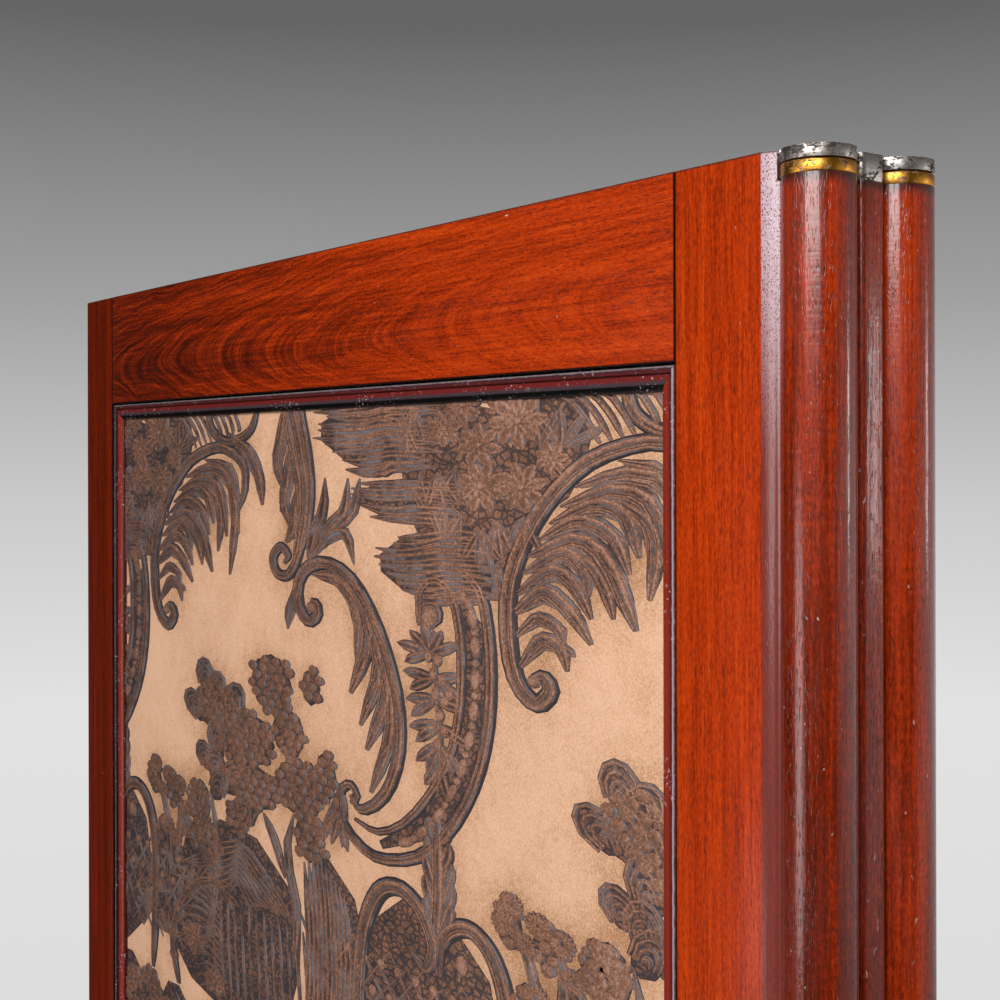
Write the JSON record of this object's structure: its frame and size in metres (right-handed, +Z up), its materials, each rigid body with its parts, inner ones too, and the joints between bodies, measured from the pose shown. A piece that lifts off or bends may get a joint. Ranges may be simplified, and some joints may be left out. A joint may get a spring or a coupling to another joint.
{
  "type": "folding screen",
  "caption": "Free-standing folding screen with framed embossed canvas leaves on double-action post hinges that fold flat either way.",
  "frame": {"origin": "centre of the folded stack's footprint, on the floor", "axes": "+Z up, +X along the folded leaves towards the first hinge, +Y from leaf 1 back through the stack"},
  "size_m": [0.6148, 0.0942, 1.75],
  "materials": {
    "frame_mahogany": "french-polished mahogany, glossy",
    "post_mahogany": "polished dark mahogany, glossy",
    "moulding_mahogany": "dark mahogany with worn edges",
    "strainer_pine": "raw softwood",
    "embossed_canvas": "embossed and bronzed, satin",
    "tarnished_brass": "worn and tarnished",
    "iron_tacks": "blued iron"
  },
  "bodies": {
    "leaf_1": {"leaf_1_left_stile": "frame_mahogany", "leaf_1_right_stile": "frame_mahogany", "leaf_1_top_rail": "frame_mahogany", "leaf_1_bottom_rail": "frame_mahogany", "leaf_1_strainer": "strainer_pine", "leaf_1_front_canvas": "embossed_canvas", "leaf_1_back_canvas": "embossed_canvas", "leaf_1_canvas_tacks": "iron_tacks", "leaf_1_front_moulding": "moulding_mahogany", "leaf_1_back_moulding": "moulding_mahogany", "leaf_1_moulding_pins": "iron_tacks", "leaf_1_right_post": "post_mahogany", "leaf_1_right_ferrules": "tarnished_brass", "leaf_1_right_pivot_screws": "tarnished_brass"},
    "leaf_2": {"leaf_2_left_stile": "frame_mahogany", "leaf_2_right_stile": "frame_mahogany", "leaf_2_top_rail": "frame_mahogany", "leaf_2_bottom_rail": "frame_mahogany", "leaf_2_strainer": "strainer_pine", "leaf_2_front_canvas": "embossed_canvas", "leaf_2_back_canvas": "embossed_canvas", "leaf_2_canvas_tacks": "iron_tacks", "leaf_2_front_moulding": "moulding_mahogany", "leaf_2_back_moulding": "moulding_mahogany", "leaf_2_moulding_pins": "iron_tacks", "leaf_2_right_post": "post_mahogany", "leaf_2_right_ferrules": "tarnished_brass", "leaf_2_right_pivot_screws": "tarnished_brass", "leaf_2_left_post": "post_mahogany", "leaf_2_left_ferrules": "tarnished_brass", "leaf_2_left_pivot_screws": "tarnished_brass"},
    "leaf_3": {"leaf_3_left_stile": "frame_mahogany", "leaf_3_right_stile": "frame_mahogany", "leaf_3_top_rail": "frame_mahogany", "leaf_3_bottom_rail": "frame_mahogany", "leaf_3_strainer": "strainer_pine", "leaf_3_front_canvas": "embossed_canvas", "leaf_3_back_canvas": "embossed_canvas", "leaf_3_canvas_tacks": "iron_tacks", "leaf_3_front_moulding": "moulding_mahogany", "leaf_3_back_moulding": "moulding_mahogany", "leaf_3_moulding_pins": "iron_tacks", "leaf_3_left_post": "post_mahogany", "leaf_3_left_ferrules": "tarnished_brass", "leaf_3_left_pivot_screws": "tarnished_brass"},
    "link_1": {"link_1_fillet": "post_mahogany", "link_1_top_bracket": "tarnished_brass", "link_1_bottom_bracket": "tarnished_brass", "link_1_bracket_screws": "tarnished_brass", "link_1_washers": "tarnished_brass"},
    "link_2": {"link_2_fillet": "post_mahogany", "link_2_top_bracket": "tarnished_brass", "link_2_bottom_bracket": "tarnished_brass", "link_2_bracket_screws": "tarnished_brass", "link_2_washers": "tarnished_brass"}
  },
  "joints": [
    {"name": "link_1_swing", "type": "hinge", "parent": "leaf_1", "child": "link_1", "pos_m": [0.29587, -0.03559, 0], "axis": [0, 0, -1], "range_deg": [0, 180]},
    {"name": "leaf_2_swing", "type": "hinge", "parent": "link_1", "child": "leaf_2", "pos_m": [0.29587, 0.00111, 0], "axis": [0, 0, -1], "range_deg": [0, 120]},
    {"name": "link_2_swing", "type": "hinge", "parent": "leaf_2", "child": "link_2", "pos_m": [-0.28333, 0.00111, 0], "axis": [0, 0, 1], "range_deg": [0, 150]},
    {"name": "leaf_3_swing", "type": "hinge", "parent": "link_2", "child": "leaf_3", "pos_m": [-0.29587, 0.03559, 0], "axis": [0, 0, 1], "range_deg": [0, 106]}
  ]
}
